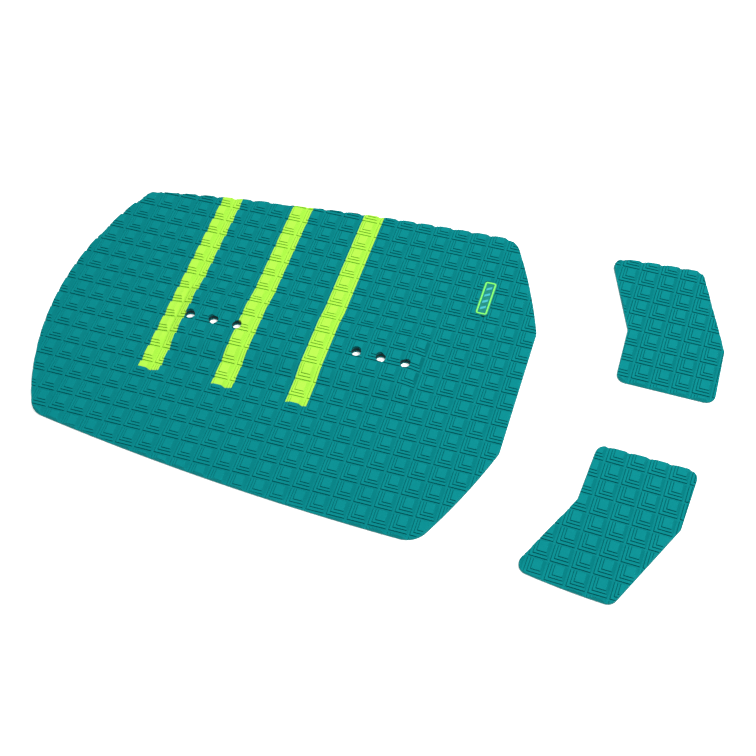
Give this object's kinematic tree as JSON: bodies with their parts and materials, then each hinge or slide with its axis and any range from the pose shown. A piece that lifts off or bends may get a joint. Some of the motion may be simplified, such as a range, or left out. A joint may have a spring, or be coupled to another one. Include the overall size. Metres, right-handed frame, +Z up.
{
  "type": "foam deck traction pad set",
  "caption": "Foam traction pad set: a broad stepped-square pad with a low arch bar, strap-screw holes and inlaid stripes, and cranked side pads, on peel-off liners.",
  "frame": {"origin": "centre of the middle pair of strap-screw holes, on the underside that lies on the board or table", "axes": "+X along the board centreline towards the side pads, +Y across the board, +Z up out of the tread"},
  "size_m": [0.6733, 0.4033, 0.01],
  "materials": {
    "tread_foam": "matte closed-cell foam",
    "base_foam": "matte closed-cell foam",
    "core_foam": "matte closed-cell foam",
    "stripe_foam": "matte closed-cell foam",
    "badge_teal": "smooth satin foam skin",
    "badge_lime": "satin transfer film",
    "adhesive_film": "satin acrylic film",
    "release_paper": "smooth coated paper"
  },
  "bodies": {
    "main_liner_sheet": {"main_liner": "release_paper"},
    "main_pad": {"main_adhesive": "adhesive_film", "main_base": "base_foam", "arch_core": "core_foam", "main_tread": "tread_foam", "stripe_rear": "stripe_foam", "stripe_middle": "stripe_foam", "stripe_front": "stripe_foam", "badge_field": "badge_teal", "badge_frame": "badge_lime"},
    "left_liner_sheet": {"left_liner": "release_paper"},
    "left_pad": {"left_adhesive": "adhesive_film", "left_base": "base_foam", "left_tread": "tread_foam"},
    "right_liner_sheet": {"right_liner": "release_paper"},
    "right_pad": {"right_adhesive": "adhesive_film", "right_base": "base_foam", "right_tread": "tread_foam"}
  },
  "joints": [
    {"name": "main_pad_lift", "type": "slide", "parent": "main_liner_sheet", "child": "main_pad", "axis": [0, 0, 1], "range_m": [0, 0.1]},
    {"name": "left_liner_lift", "type": "slide", "parent": "main_liner_sheet", "child": "left_liner_sheet", "axis": [0, 0, 1], "range_m": [0, 0.1]},
    {"name": "left_pad_lift", "type": "slide", "parent": "left_liner_sheet", "child": "left_pad", "axis": [0, 0, 1], "range_m": [0, 0.1]},
    {"name": "right_liner_lift", "type": "slide", "parent": "main_liner_sheet", "child": "right_liner_sheet", "axis": [0, 0, 1], "range_m": [0, 0.1]},
    {"name": "right_pad_lift", "type": "slide", "parent": "right_liner_sheet", "child": "right_pad", "axis": [0, 0, 1], "range_m": [0, 0.1]}
  ]
}
